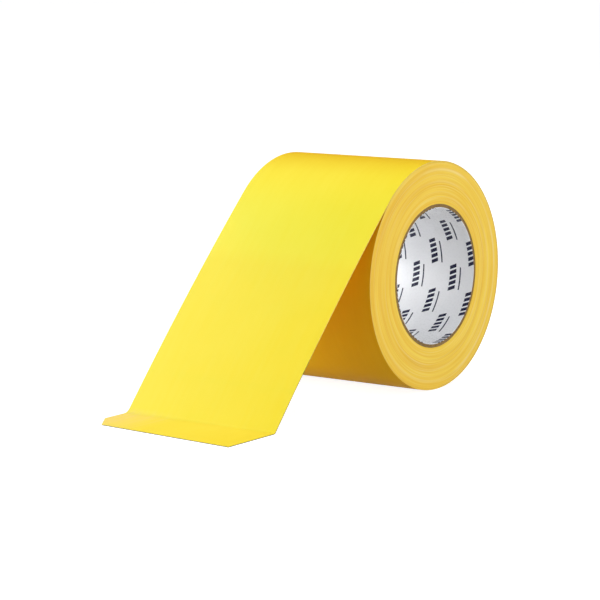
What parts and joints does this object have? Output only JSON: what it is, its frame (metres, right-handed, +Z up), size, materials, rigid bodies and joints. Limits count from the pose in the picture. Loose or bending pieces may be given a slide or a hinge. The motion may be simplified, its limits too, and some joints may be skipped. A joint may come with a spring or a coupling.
{
  "type": "adhesive tape roll",
  "caption": "Wide roll of cloth-backed adhesive tape on a three inch paper core, its free end drawn down to a flat tab that sticks to the surface in front of the roll.",
  "frame": {"origin": "on the surface that the roll rests on, straight below the middle of the roll's axis", "axes": "+X along the roll's axis towards its near end face, the free tape runs towards -Y, +Z up"},
  "size_m": [0.1, 0.2519, 0.1287],
  "materials": {
    "liner_paper": "satin",
    "kraft_board": "matte",
    "wound_tape": "satin",
    "backing_film": "satin",
    "adhesive": "matte"
  },
  "bodies": {
    "outer_lap": {"outer_lap_adhesive": "adhesive", "outer_lap_backing": "backing_film"},
    "roll": {"core_liner": "liner_paper", "core_ply_inner": "kraft_board", "core_ply_middle": "kraft_board", "core_ply_outer": "kraft_board", "wound_tape": "wound_tape"},
    "tail_upper": {"tail_upper_adhesive": "adhesive", "tail_upper_backing": "backing_film"},
    "tail_middle": {"tail_middle_adhesive": "adhesive", "tail_middle_backing": "backing_film"},
    "tail_lower": {"tail_lower_adhesive": "adhesive", "tail_lower_backing": "backing_film"},
    "end_tab": {"end_tab_adhesive": "adhesive", "end_tab_backing": "backing_film"}
  },
  "joints": [
    {"name": "roll_spin", "type": "hinge", "parent": "outer_lap", "child": "roll", "pos_m": [0, 0, 0.0641], "axis": [1, 0, 0], "continuous": true},
    {"name": "tail_lift", "type": "hinge", "parent": "outer_lap", "child": "tail_upper", "pos_m": [0, -0.04503, 0.1104], "axis": [-1, 0, 0], "range_deg": [0, 90]},
    {"name": "tail_bend_upper", "type": "hinge", "parent": "tail_upper", "child": "tail_middle", "pos_m": [0, -0.08071, 0.07452], "axis": [1, 0, 0], "range_deg": [0, 27]},
    {"name": "tail_bend_lower", "type": "hinge", "parent": "tail_middle", "child": "tail_lower", "pos_m": [0, -0.11552, 0.03778], "axis": [1, 0, 0], "range_deg": [0, 27]},
    {"name": "tab_fold", "type": "hinge", "parent": "tail_lower", "child": "end_tab", "pos_m": [0, -0.14933, 0.00031], "axis": [-1, 0, 0], "range_deg": [0, 110]}
  ],
  "couplings": [
    {"joint": "tail_bend_upper", "follows": "tail_lift", "ratio": 0.3},
    {"joint": "tail_bend_lower", "follows": "tail_lift", "ratio": 0.3}
  ]
}
